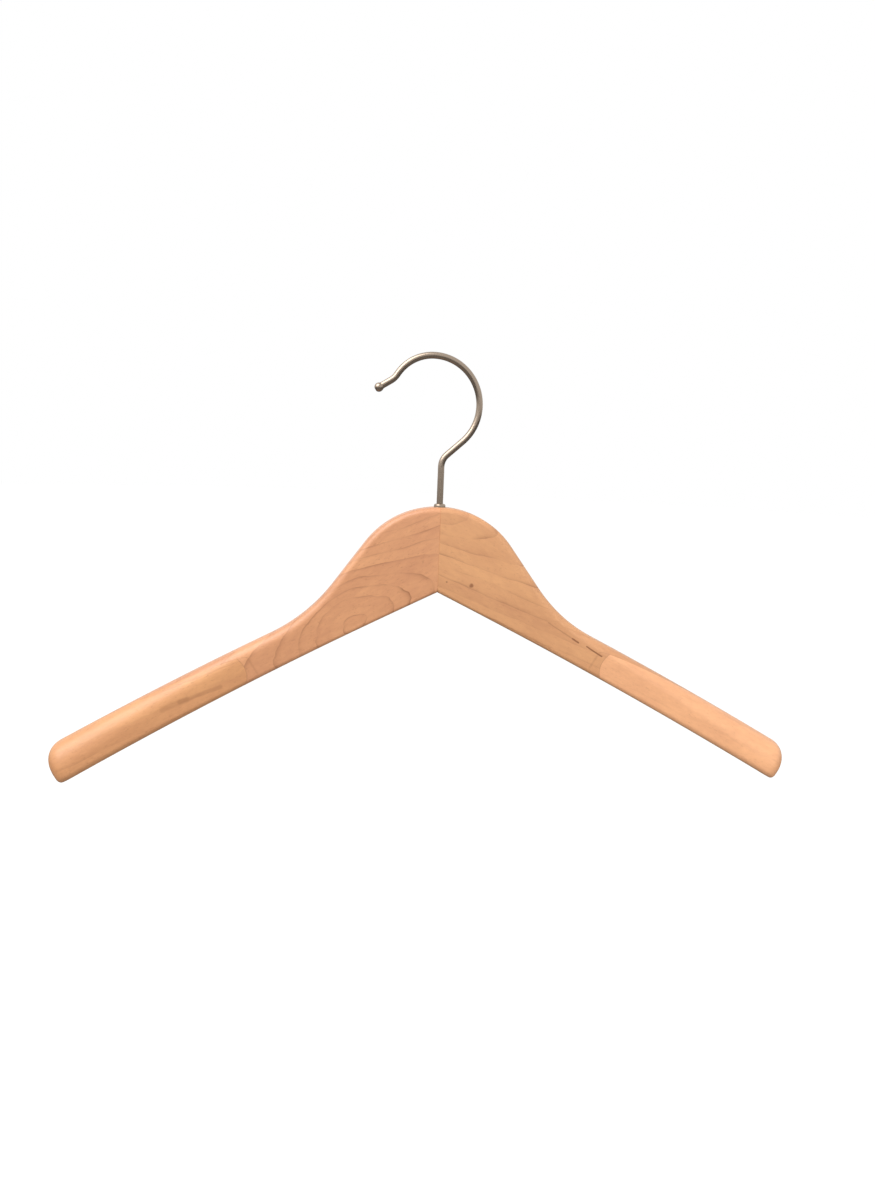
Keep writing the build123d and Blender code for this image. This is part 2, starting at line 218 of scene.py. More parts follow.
def top_of_wood(wood, x):
    """Height and slope of the upper edge at the distance x from the mitre."""
    flank, shoulder = wood.flank_angle, wood.shoulder_angle
    hump_end = wood.hump_radius * sin(flank)
    hump_end_z = -wood.hump_radius * (1 - cos(flank))
    meet = (hump_end_z + hump_end * tan(flank) + wood.shoulder_drop) / (tan(flank) - tan(shoulder))
    run = wood.hollow_radius * tan((flank - shoulder) / 2)
    hollow_start = meet - run * cos(flank)
    hollow_end = meet + run * cos(shoulder)
    hollow_x = hollow_start + wood.hollow_radius * sin(flank)
    hollow_end_z = -wood.shoulder_drop - hollow_end * tan(shoulder)
    if x <= hump_end:
        rise = sqrt(wood.hump_radius**2 - x * x)
        return rise - wood.hump_radius, atan(x / rise)
    if x <= hollow_start:
        return hump_end_z - (x - hump_end) * tan(flank), flank
    if x <= hollow_end:
        rise = sqrt(wood.hollow_radius**2 - (hollow_x - x) ** 2)
        height = hollow_end_z + wood.hollow_radius * cos(shoulder) - rise
        return height, atan((hollow_x - x) / rise)
    along = x - hollow_end
    slope = atan(tan(shoulder) + along / (wood.shoulder_radius * cos(shoulder) ** 3))
    return hollow_end_z - bent_line(along, shoulder, wood.shoulder_radius), slope


def bottom_of_wood(wood, x):
    """Height of the lower edge at the distance x from the mitre."""
    return -wood.notch_depth - bent_line(x, wood.lower_angle, wood.lower_radius)


def swept(wood, x, radius):
    """How far a face has curved forwards at the distance x from the mitre."""
    return max(0.0, x - wood.sweep_start) ** 2 / (2 * radius)


def end_of_arm(wood):
    """Where the end plane meets the upper edge, its slope, and how far a section leans there."""
    slope = top_of_wood(wood, wood.half_span)[1]
    top_x = wood.half_span + wood.end_top * (cos(slope) + sin(slope) - 1)
    depth = (top_of_wood(wood, top_x)[0] - bottom_of_wood(wood, top_x)) * cos(slope)
    return top_x, slope, depth * sin(slope)


# ---- cross-sections of an arm ----
CORNER_STEPS = 12
SIDE_STEPS = (5, 4, 5, 4)  # front, top, back and bottom between the rounded corners
SECTION_PITCH = 1.5 * MM
END_TURNS = 18  # sections round the end of the arm
WIDEST_ROUND = 0.49  # most of a section's thickness that one corner may take
TALLEST_ROUND = 0.98  # most of its height that two corners may take


def rounded_ring(front, back, low, high, upper, lower):
    """(across, up) points round a section whose corners are quarter ellipses."""
    corners = (
        (front + lower[0], low + lower[1], lower, 1.5 * pi),
        (front + upper[0], high - upper[1], upper, pi),
        (back - upper[0], high - upper[1], upper, 0.5 * pi),
        (back - lower[0], low + lower[1], lower, 0.0),
    )
    arcs = []
    for across, up, (half_width, half_height), start in corners:
        angles = [start - step * pi / (2 * CORNER_STEPS) for step in range(CORNER_STEPS + 1)]
        arcs.append([(across + half_width * cos(a), up + half_height * sin(a)) for a in angles])
    ring = []
    for index, steps in enumerate(SIDE_STEPS):
        ring += arcs[index]
        start, end = arcs[index][-1], arcs[(index + 1) % 4][0]
        for step in range(1, steps):
            share = step / steps
            ring.append(tuple(s + (e - s) * share for s, e in zip(start, end)))
    return ring


def arm_ring(wood, top_x, inset_top=0.0, inset_low=0.0, inset_side=0.0):
    """Points round the arm where it is cut through its upper edge at top_x."""
    share = min(1.0, top_x / wood.lean_run)
    low_x = top_x - end_of_arm(wood)[2] * share * share * (3 - 2 * share)
    top_z, slope = top_of_wood(wood, top_x)
    low_z = bottom_of_wood(wood, low_x)
    height = hypot(top_x - low_x, top_z - low_z)
    lean_x, lean_z = (top_x - low_x) / height, (top_z - low_z) / height

    middle_x = (top_x + low_x) / 2
    front = -wood.thickness / 2 - swept(wood, middle_x, wood.front_sweep) + inset_side
    back = wood.thickness / 2 - swept(wood, middle_x, wood.back_sweep) - inset_side
    low, high = inset_low, height - inset_top
    grown = min(1.0, top_x / wood.half_span) ** 2
    stretch = 1 / cos(slope - atan2(lean_x, lean_z))
    across = wood.edge_radius + (wood.round_across - wood.edge_radius) * grown
    down = (wood.edge_radius + (wood.round_down - wood.edge_radius) * grown) * stretch
    lower = wood.lower_edge + (wood.lower_end - wood.lower_edge) * grown
    widest, tallest = WIDEST_ROUND * (back - front), TALLEST_ROUND * (high - low)
    fit = min(1.0, widest / max(across, lower), tallest / (down + lower))
    ring = rounded_ring(
        front, back, low, high, (across * fit, down * fit), (lower * fit, lower * fit)
    )
    return [(low_x + up * lean_x, y, low_z + up * lean_z) for y, up in ring]


def circle_inset(radius, distance):
    """How far a rounded corner has drawn in at the distance from the end."""
    return radius - sqrt(radius**2 - max(0.0, radius - distance) ** 2)


def blank_rings(wood):
    """Sections of one arm and its shoulder block, from the mitre to the rounded end."""
    bevel = wood.mitre_bevel
    end_x, slope, _ = end_of_arm(wood)
    round_start = end_x - wood.end_top * cos(slope)
    count = round((round_start - bevel) / SECTION_PITCH)
    rings = [arm_ring(wood, 0.0, bevel, bevel, bevel)]
    for index in range(count):
        rings.append(arm_ring(wood, bevel + (round_start - bevel) * index / count))
    for index in range(END_TURNS + 1):
        distance = wood.end_top * (1 - sin(index * pi / (2 * END_TURNS)))
        insets = [circle_inset(r, distance) for r in (wood.end_top, wood.end_low, wood.end_side)]
        rings.append(arm_ring(wood, end_x - distance * cos(slope), *insets))
    return rings


# ---- meshes ----
LATHE_STEPS = 96
MERGE_DISTANCE = 1e-7  # points that meet on the axis
CREASE = radians(35)  # sharper edges are shaded as edges


def mesh_object(name, points, faces, side=1, merge=False):
    """A closed mesh placed from the swivel axis; side -1 mirrors it to the other arm."""
    mesh = bpy.data.meshes.new(name)
    mesh.from_pydata([(side * x, y, z) for x, y, z in points], [], faces)
    mesh.transform(Matrix.Translation(SWIVEL))
    shape = bmesh.new()
    shape.from_mesh(mesh)
    if merge:
        bmesh.ops.remove_doubles(shape, verts=shape.verts, dist=MERGE_DISTANCE)
    bmesh.ops.recalc_face_normals(shape, faces=shape.faces)
    shape.to_mesh(mesh)
    shape.free()
    piece = bpy.data.objects.new(name, mesh)
    bpy.context.scene.collection.objects.link(piece)
    return piece


def skinned(name, rings, side=1, lathed=False):
    """A closed skin over rings of equal count, capped, or lathed and so joined end to end."""
    around, count = len(rings[0]), len(rings)
    points = [point for ring in rings for point in ring]
    faces = []
    for row in range(count if lathed else count - 1):
        first, second = row * around, (row + 1) % count * around
        for column in range(around):
            beside = (column + 1) % around
            faces.append((first + column, first + beside, second + beside, second + column))
    if not lathed:
        last = (count - 1) * around
        faces += [tuple(range(around)), tuple(range(last, last + around))]
    return mesh_object(name, points, faces, side, lathed)


def prism(name, outline, near, far, side=1):
    """A closed block over an (x, z) outline, between two depths along Y."""
    return skinned(name, [[(x, y, z) for x, z in outline] for y in (near, far)], side)


def lathed(name, outline):
    """A closed ring or plug turned about the swivel axis from (radius, height) points."""
    angles = [2 * pi * step / LATHE_STEPS for step in range(LATHE_STEPS)]
    rings = [[(radius * cos(a), radius * sin(a), z) for radius, z in outline] for a in angles]
    return skinned(name, rings, lathed=True)


def evaluated_mesh(piece):
    """The piece's mesh with its modifiers applied."""
    graph = bpy.context.evaluated_depsgraph_get()
    return bpy.data.meshes.new_from_object(piece.evaluated_get(graph), depsgraph=graph)


def cut(piece, operation, cutters):
    """Cut a piece with each cutter in turn and keep the result as a plain mesh."""
    for cutter in cutters:
        boolean = piece.modifiers.new("cut", "BOOLEAN")
        boolean.operation = operation
        boolean.solver = "EXACT"
        boolean.object = cutter
    result = evaluated_mesh(piece)
    if not result.polygons:
        raise RuntimeError(f"nothing is left of {piece.name} after its cuts")
    piece.modifiers.clear()
    piece.data = result


def finish_piece(piece, body, node, material):
    """Shade a finished piece, attach it to the body it rides on, and hide the imported node that it
    takes the place of.
    """
    piece.data.materials.clear()
    piece.data.materials.append(material)
    piece.data.shade_smooth()
    piece.data.set_sharp_from_angle(angle=CREASE)
    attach(piece, body)
    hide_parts(node)


def discard(*helpers):
    """Remove the cutters once they have cut."""
    for helper in helpers:
        bpy.data.objects.remove(helper)


# ---- cutters for the wood ----
CUTTER_STEPS = 48  # round a dowel hole, and round the block's nose
ABOVE_WOOD = 2 * MM  # how far the bore's cutter stands out of the wood
DRILL_POINT = radians(59)  # half the point angle of a twist drill


def bush_outside(hook):
    """(radius, height) points down the outside of the bush, barbs included."""
    radius = hook.bush_bore / 2 + hook.bush_wall
    points = [(radius, -hook.flange_seat)]
    for index in range(hook.barb_count):
        barb = -hook.flange_seat - hook.barb_pitch * (index + 1)
        points += [(radius, barb), (radius + hook.barb_height, barb)]
        points.append((radius, barb - hook.barb_length))
    return points + [(radius, -hook.bush_length)]


def bore_cutter(hook):
    """Everything the bush and the end of the hook need cut out of the wood."""
    radius = hook.bush_bore / 2 + hook.bush_wall
    spot = hook.flange_diameter / 2 + hook.spot_clearance
    end = -hook.peen_depth - hook.peen_height - hook.bore_spare
    point = radius / tan(DRILL_POINT)
    outline = [(0.0, ABOVE_WOOD), (spot, ABOVE_WOOD), (spot, -hook.flange_seat)]
    outline += bush_outside(hook) + [(radius, end), (0.0, end - point)]
    return lathed("bore", outline)


def dowel_cutters(wood):
    """The holes that cross the mitre."""
    radius, reach = wood.dowel_diameter / 2, wood.dowel_hole / 2
    angles = [2 * pi * step / CUTTER_STEPS for step in range(CUTTER_STEPS)]
    cutters = []
    for depth in (wood.upper_dowel, wood.lower_dowel):
        rings = []
        for x in (-reach, reach):
            rings.append([(x, radius * cos(a), -depth + radius * sin(a)) for a in angles])
        cutters.append(skinned("dowel_hole", rings))
    return cutters


def glue_plane(wood, side):
    """Depth of the glue face, and the centre of the block's round nose."""
    depth = wood.left_glue_depth if side < 0 else wood.right_glue_depth
    nose = wood.sweep_start + sqrt(2 * wood.front_sweep * (depth + wood.nose_thickness))
    middle_x = nose + wood.nose_radius
    middle_z = (top_of_wood(wood, middle_x)[0] + bottom_of_wood(wood, middle_x)) / 2
    return -wood.thickness / 2 - depth, middle_x, middle_z


def glue_marks(wood, side):
    """Depth of the glue face and the block's nose, in the frame of the model."""
    face, middle_x, middle_z = glue_plane(wood, side)
    return face + SWIVEL.y, side * middle_x + SWIVEL.x, middle_z + SWIVEL.z, wood.nose_radius


def block_cutter(wood, side):
    """All that lies ahead of the glue face, outwards from the block's round nose."""
    face, middle_x, middle_z = glue_plane(wood, side)
    reach = 2 * wood.half_span
    outline = [(middle_x, middle_z - reach), (reach, middle_z - reach)]
    outline += [(reach, middle_z + reach), (middle_x, middle_z + reach)]
    for step in range(CUTTER_STEPS + 1):
        angle = pi / 2 + pi * step / CUTTER_STEPS
        x = middle_x + wood.nose_radius * cos(angle)
        outline.append((x, middle_z + wood.nose_radius * sin(angle)))
    return prism("ahead", outline, face - reach, face, side)


# ---- shader nodes ----
MATHS = "ShaderNodeMath"
VECTOR = "ShaderNodeVectorMath"
RANGE = "ShaderNodeMapRange"
MIX = "ShaderNodeMix"
SPLIT = "ShaderNodeSeparateXYZ"
JOIN = "ShaderNodeCombineXYZ"
LINEAR = {"interpolation_type": "LINEAR", "clamp": True}
SMOOTH = {"interpolation_type": "SMOOTHSTEP", "clamp": True}
CLAMPED_ADD = {"operation": "ADD", "use_clamp": True}
CLAMPED_DIVIDE = {"operation": "DIVIDE", "use_clamp": True}
MIDDLE = 0.5  # average of a noise, whose values lie between 0 and 1


def add(tree, kind, inputs=None, **settings):
    """Add a node. An input, named or numbered, takes a value, a socket or a node's output."""
    node = tree.nodes.new(kind)
    for name, value in settings.items():
        setattr(node, name, value)
    for key, value in (inputs or {}).items():
        if isinstance(key, int):
            socket = node.inputs[key]
        else:
            socket = next(s for s in node.inputs if s.enabled and s.name == key)
        if isinstance(value, bpy.types.Node):
            value = next(s for s in value.outputs if s.enabled)
        if isinstance(value, bpy.types.NodeSocket):
            tree.links.new(value, socket)
        else:
            socket.default_value = value
    return node


def work_out(tree, found, steps):
    """Add a node for each step: the name of its result, its kind, its operation or settings, and
    its inputs in order. An input given as text is the result of that name, or its output."""
    for result, kind, how, *inputs in steps:
        for place, item in enumerate(inputs):
            if isinstance(item, str):
                name, _, output = item.partition(".")
                inputs[place] = found[name].outputs[output] if output else found[name]
        settings = {"operation": how} if isinstance(how, str) else how
        found[result] = add(tree, kind, dict(enumerate(inputs)), **settings)


def new_material(name):
    """A material with an empty node tree, ready for a shader."""
    material = bpy.data.materials.new(name)
    material.use_nodes = True
    material.node_tree.nodes.clear()
    return material, material.node_tree


# How one board was cut from the tree. Places are (x, y, z) or (x, z) in millimetres from the
# top of the wood on the swivel axis. A spot has a radius and a depth of colour, and a streak a
# start, an end, half a width and a depth of colour.
Board = namedtuple(
    "Board",
    "heart slope spacing seed line_depth band_depth fleck_depth stretch saturate drift spots streaks",
    defaults=(6.0, 60.0, 0.02, (), ()),
)

BOARDS = {
    # flat-sawn across the swelling of a branch: closed arches that open towards the mitre
    "left_arm": Board(
        heart=(-46.0, -7.0, -66.0), slope=30.0, stretch=1.9, saturate=20.0, drift=0.12,
        spacing=4.7, seed=3.0, line_depth=1.0, band_depth=0.5, fleck_depth=0.35,
    ),
    # flat-sawn above the mitre, with a pin knot and a short run of pith low on the arm
    "right_arm": Board(
        heart=(-5.0, -7.0, 5.0), slope=-27.0, stretch=2.33, saturate=12.0, drift=0.12,
        spacing=5.3, seed=11.0, line_depth=0.7, band_depth=0.45, fleck_depth=0.25,
        spots=((18.8, -43.0, 1.6, 0.8), (5.0, -41.5, 0.8, 0.6)),
        streaks=(
            ((64.5, -63.6), (79.2, -72.9), 0.5, 0.35),
            ((79.2, -72.9), (82.5, -75.0), 0.7, 0.9),
            ((87.7, -77.3), (97.0, -83.0), 0.6, 0.9),
        ),
    ),
    # nearly quarter-sawn: straight lines along the arm, rays across it
    "left_shoulder_block": Board(
        heart=(-60.0, -60.0, 40.0), slope=24.0, spacing=7.0, seed=7.0,
        line_depth=0.45, band_depth=0.5, fleck_depth=0.35,
        streaks=(
            ((-149.6, -113.9), (-137.0, -108.6), 2.4, 0.22),
            ((-140.3, -109.7), (-119.2, -101.9), 1.8, 0.28),
        ),
    ),
    # plain and pinker, with little figure
    "right_shoulder_block": Board(
        heart=(60.0, -50.0, 60.0), slope=-26.0, spacing=9.0, seed=17.0,
        line_depth=0.2, band_depth=0.35, fleck_depth=0.2,
    ),
    # birch rod, hidden across the mitre
    "mitre_dowels": Board(
        heart=(0.0, 0.0, -60.0), slope=0.0, spacing=3.0, seed=23.0,
        line_depth=0.3, band_depth=0.3, fleck_depth=0.2,
    ),
}

# Cells of each noise in the wood, in millimetres along, through and across the grain, with its
# detail.
WOOD_NOISE = {
    "sway": ((38, 14, 14), 1.0),
    "wobble": ((9, 3, 3), 1.0),
    "fade": ((22, 9, 9), 1.0),
    "cloud": ((34, 12, 12), 2.0),
    "mottle": ((5.0, 1.6, 1.6), 3.0),
    "fleck": ((1.9, 0.55, 0.55), 2.0),
    "fibre": ((9.0, 0.35, 0.35), 2.0),
}
RING_SHIFT = {"sway": (9, 4, 5), "wobble": (2.5, 1.0, 1.1)}  # millimetres that bend the rings
SHELL_DEPTH = 0.7  # rings are flatter through the board than across it
LATE_WOOD = 9.0  # the higher, the thinner the growth line
PALE, DEEP = (1.10, 1.13, 1.12), (0.88, 0.84, 0.86)  # ends of a board's range of tones
RAGGED = (0.5, 0, 0.8)  # share of the wobble that roughens knots and pith
SPOT_CORE, STREAK_CORE = 0.35, 0.3  # share that keeps the full colour

# Cells of each noise in the metal, in millimetres along X, Y and Z.
METAL_NOISE = {"drawn": (0.25, 0.25, 6.0), "cloud": (7, 7, 7)}
METAL_DETAIL = 2.0
DULL_SHARE = 0.96  # tone of the metal between its drawing lines


def wood_material(name, board, tone, finish, glue=None):
    """Steamed beech under satin lacquer, sanded smooth: a peach brown with thin growth lines,
    fine darker flecks where the rays end, and a soft gloss that varies with the fibres. The
    figure is solid, so it runs on round every edge."""
    material, tree = new_material(name)
    place = add(tree, "ShaderNodeTexCoord").outputs["Object"]
    grain = add(
        tree, "ShaderNodeMapping",
        {
            "Vector": place,
            "Location": SWIVEL + Vector(board.heart) * MM,
            "Rotation": (0.0, -radians(board.slope), 0.0),
            "Scale": (MM, MM, MM),
        },
        vector_type="TEXTURE",
    )
    found = {"place": place, "grain": grain}
    for use, (cell, detail) in WOOD_NOISE.items():
        scaled = add(tree, VECTOR, {0: grain, 1: [1 / size for size in cell]}, operation="MULTIPLY")
        found[use] = add(
            tree, "ShaderNodeTexNoise", {"Vector": scaled, "Scale": 1.0, "Detail": detail}
        )

    # growth rings: nested shells round the heart, long along the grain, bent by two noises
    for use, reach in RING_SHIFT.items():
        work_out(tree, found, (
            (use, VECTOR, "SUBTRACT", f"{use}.Color", (MIDDLE, MIDDLE, MIDDLE)),
            (use, VECTOR, "MULTIPLY", use, reach),
        ))
    work_out(tree, found, (
        ("bent", VECTOR, "ADD", "grain", "sway"),
        ("bent", VECTOR, "ADD", "bent", "wobble"),
        ("axes", SPLIT, {}, "bent"),
        ("run", MATHS, "MULTIPLY", "axes.X", 1 / (board.stretch * board.saturate)),
        ("run", MATHS, "TANH", "run"),
        ("run", MATHS, "MULTIPLY", "run", board.saturate),
        ("drift", MATHS, "MULTIPLY", "axes.X", board.drift),
        ("along", MATHS, "ADD", "run", "drift"),
        ("through", MATHS, "MULTIPLY", "axes.Y", SHELL_DEPTH),
        ("shell", JOIN, {}, "along", "through", "axes.Z"),
        ("radius", VECTOR, "LENGTH", "shell"),
        ("ring", MATHS, "DIVIDE", "radius", board.spacing),
        ("year", MATHS, "FLOOR", "ring"),
        ("age", MATHS, "FRACT", "ring"),
        ("draw", MATHS, "ADD", "year", board.seed),
    ))
    found["chance"] = add(
        tree, "ShaderNodeTexWhiteNoise", {"W": found["draw"]}, noise_dimensions="1D"
    )
    work_out(tree, found, (
        ("late wood", MATHS, "POWER", "age", LATE_WOOD),
        ("closing", RANGE, LINEAR, "age", 0.985, 1.0, 0.0, 1.0),
        ("edge", MATHS, "SUBTRACT", 1.0, "closing"),
        ("fade", RANGE, LINEAR, "fade", 0.36, 0.62, 0.15, 1.0),
        ("strength", RANGE, LINEAR, "chance.Value", 0.0, 1.0, 0.25, 1.0),
        ("faded", MATHS, "MULTIPLY", "fade", "strength"),
        ("line", MATHS, "MULTIPLY", "late wood", "edge"),
        ("line", MATHS, "MULTIPLY", "line", "faded"),
        ("line", MATHS, "MULTIPLY", "line", board.line_depth),
        # tone: each year's band differs a little, and the board is softly mottled
        ("band", "ShaderNodeSeparateColor", {}, "chance.Color"),
        ("band", MATHS, "SUBTRACT", "band.Green", MIDDLE),
        ("band", MATHS, "MULTIPLY", "band", board.band_depth),
        ("cloud", MATHS, "SUBTRACT", "cloud", MIDDLE),
        ("cloud", MATHS, "MULTIPLY", "cloud", 1.1),
        ("mottle", MATHS, "SUBTRACT", "mottle", MIDDLE),
        ("mottle", MATHS, "MULTIPLY", "mottle", 0.9),
        ("shade", MATHS, "ADD", "cloud", "mottle"),
        ("shade", MATHS, "ADD", "shade", "band"),
        ("shade", MATHS, CLAMPED_ADD, "shade", MIDDLE),
        # flecks: the ends of the rays, a few tenths of a millimetre wide
        ("flecks", RANGE, SMOOTH, "fleck", 0.60, 0.72, 0.0, 1.0),
        ("fleck marks", MATHS, "MULTIPLY", "flecks", board.fleck_depth),
        # lacquer: the fibres still show through as the finest relief
        ("pits", MATHS, "MULTIPLY", "flecks", 0.5),
        ("relief", MATHS, "SUBTRACT", "fibre", "pits"),
        ("rough", RANGE, LINEAR, "fibre", 0.3, 0.7, 0.36, 0.46),
        # pin knots and pith, measured in the plane of the face
        ("face", VECTOR, "SUBTRACT", "place", SWIVEL),
        ("face", VECTOR, "MULTIPLY", "face", (1 / MM, 0, 1 / MM)),
        ("ragged", VECTOR, "MULTIPLY", "wobble", RAGGED),
        ("face", VECTOR, "ADD", "face", "ragged"),
    ))
    marks = [(found["fleck marks"], finish.fleck), (found["line"], finish.growth_line)]
    for x, z, size, depth in board.spots:
        work_out(tree, found, (
            ("away", VECTOR, "DISTANCE", "face", (x, 0, z)),
            ("mark", RANGE, SMOOTH, "away", size * SPOT_CORE, size, depth, 0.0),
        ))
        marks.append((found["mark"], finish.knot))
    for start, end, half_width, depth in board.streaks:
        first = Vector((start[0], 0, start[1]))
        run = Vector((end[0] - start[0], 0, end[1] - start[1]))
        work_out(tree, found, (
            ("offset", VECTOR, "SUBTRACT", "face", first),
            ("reach", VECTOR, "DOT_PRODUCT", "offset", run),
            ("share", MATHS, CLAMPED_DIVIDE, "reach", run.length_squared),
            ("nearest", VECTOR, "MULTIPLY", run, "share"),
            ("away", VECTOR, "DISTANCE", "offset", "nearest"),
            ("mark", RANGE, SMOOTH, "away", half_width * STREAK_CORE, half_width, depth, 0.0),
        ))
        marks.append((found["mark"], finish.knot))

    # glue line: 0.1 mm wide along the glue face, and wider round the front of the block's nose
    if glue:
        face, nose_x, nose_z, nose_radius = glue
        order = ("at.X", nose_x) if nose_x < 0 else (nose_x, "at.X")
        work_out(tree, found, (
            ("at", SPLIT, {}, "place"),
            ("off plane", MATHS, "SUBTRACT", "at.Y", face),
            ("off plane", MATHS, "ABSOLUTE", "off plane"),
            ("plane", RANGE, LINEAR, "off plane", 0.02 * MM, 0.06 * MM, 0.2, 0.0),
            ("flat", VECTOR, "MULTIPLY", "place", (1, 0, 1)),
            ("off nose", VECTOR, "DISTANCE", "flat", (nose_x, 0, nose_z)),
            ("off nose", MATHS, "SUBTRACT", "off nose", nose_radius),
            ("off nose", MATHS, "ABSOLUTE", "off nose"),
            ("inward", MATHS, "GREATER_THAN", *order),
            ("front", MATHS, "GREATER_THAN", face + 0.05 * MM, "at.Y"),
            ("nose", RANGE, LINEAR, "off nose", 0.1 * MM, 0.35 * MM, 0.3, 0.0),
            ("nose", MATHS, "MULTIPLY", "nose", "inward"),
            ("nose", MATHS, "MULTIPLY", "nose", "front"),
            ("glue", MATHS, "MAXIMUM", "plane", "nose"),
        ))
        marks.append((found["glue"], finish.growth_line))

    pale = [min(1.0, channel * share) for channel, share in zip(tone, PALE)]
    deep = [channel * share for channel, share in zip(tone, DEEP)]
    surface = add(
        tree, MIX, {"Factor": found["shade"], "A": (*deep, 1.0), "B": (*pale, 1.0)},
        data_type="RGBA",
    )
    for amount, mark_tone in marks:
        surface = add(
            tree, MIX, {"Factor": amount, "A": surface, "B": (*mark_tone, 1.0)}, data_type="RGBA"
        )

    bump = add(
        tree, "ShaderNodeBump",
        {"Strength": 0.25, "Distance": 0.04 * MM, "Height": found["relief"]},
    )
    shader = add(
        tree, "ShaderNodeBsdfPrincipled",
        {
            "Base Color": surface, "Roughness": found["rough"], "IOR": 1.5, "Normal": bump,
            "Coat Weight": 0.15, "Coat Roughness": 0.25,
        },
    )
    add(tree, "ShaderNodeOutputMaterial", {"Surface": shader})
    return material


def metal_material(name, tone, roughness):
    """Nickel or zinc plate over drawn steel: a warm satin grey, a little uneven in its gloss,
    with fine drawing lines, 0.25 mm apart so that they show."""
    material, tree = new_material(name)
    place = add(tree, "ShaderNodeTexCoord").outputs["Object"]
    scaled = add(tree, VECTOR, {0: place, "Scale": 1 / MM}, operation="SCALE")
    found = {}
    for use, cell in METAL_NOISE.items():
        celled = add(tree, VECTOR, {0: scaled, 1: [1 / size for size in cell]}, operation="MULTIPLY")
        found[use] = add(
            tree, "ShaderNodeTexNoise", {"Vector": celled, "Scale": 1.0, "Detail": METAL_DETAIL}
        )
    work_out(tree, found, (
        ("rough", RANGE, LINEAR, "cloud", 0.3, 0.7, roughness - 0.02, roughness + 0.03),
    ))
    dull = (*[channel * DULL_SHARE for channel in tone], 1.0)
    worn = add(
        tree, MIX, {"Factor": found["drawn"], "A": dull, "B": (*tone, 1.0)}, data_type="RGBA"
    )
    bump = add(
        tree, "ShaderNodeBump",
        {"Strength": 0.08, "Distance": 0.01 * MM, "Height": found["drawn"]},
    )
    shader = add(
        tree, "ShaderNodeBsdfPrincipled",
        {"Base Color": worn, "Metallic": 1.0, "Roughness": found["rough"], "Normal": bump},
    )
    add(tree, "ShaderNodeOutputMaterial", {"Surface": shader})
    return material


# ---- hook wire ----
WIRE_PITCH = 0.8 * MM  # rings along the wire
TIP_STEPS = 16  # rings over the round of the tip
NECK_STEPS = 10  # rings where the tip runs into the wire
NECK_REACH = 4  # neck blends over which the tip runs out
WIRE_SIDES = 40
WIRE_SIZES = (  # inputs of the wire's nodes that the hook's settings give
    "Wire Diameter", "Tip Diameter", "Tip Flat", "Neck Blend", "Peen Diameter", "Peen Height",
)
PEEN_STEP = 1e-6  # height of the square shoulder above the hammered-over end
PEEN_FACE = 0.4  # radius of its lower face, as a share of its diameter


def wire_route(hook):
    """Points along the middle of the wire, closer together over its two worked ends."""
    bottom = -hook.peen_depth - hook.peen_height
    heights = [bottom, bottom + hook.peen_height / 2, -hook.peen_depth, -hook.peen_depth + PEEN_STEP]
    points = [Vector((0, 0, height)) for height in heights]
    here, heading = points[-1].copy(), pi / 2

    def straight(run, steps):
        nonlocal here
        start = here.copy()
        for step in range(1, steps + 1):
            here = start + Vector((cos(heading), 0, sin(heading))) * run * step / steps
            points.append(here)

    def bend(radius, angle):
        nonlocal here, heading
        side = 1 if angle > 0 else -1
        centre = here + Vector((-sin(heading), 0, cos(heading))) * radius * side
        steps = max(4, round(abs(angle) * radius / WIRE_PITCH))
        first = heading
        for step in range(1, steps + 1):
            heading = first + angle * step / steps
            here = centre + Vector((sin(heading), 0, -cos(heading))) * radius * side
            points.append(here)

    def pitched(run):
        straight(run, max(2, round(run / WIRE_PITCH)))

    pitched(hook.shank_rise + hook.peen_depth)
    bend(hook.elbow_radius, -hook.elbow_angle)
    pitched(hook.lean_length)
    bend(hook.bow_radius, pi / 2 + hook.elbow_angle)
    bend(hook.nose_radius, hook.nose_angle)
    bend(hook.lip_radius, -hook.lip_angle)

    ball, flat = hook.tip_diameter / 2, hook.tip_flat / 2
    neck = ball + NECK_REACH * hook.neck_blend
    pitched(hook.lip_length - neck)
    straight(neck - ball, NECK_STEPS)
    start, finish = here.copy(), sqrt(ball**2 - flat**2)
    for step in range(1, TIP_STEPS + 1):
        angle = (pi / 2 + atan2(finish, flat)) * step / TIP_STEPS
        along = ball - ball * cos(angle)
        here = start + Vector((cos(heading), 0, sin(heading))) * along
        points.append(here)
    return points


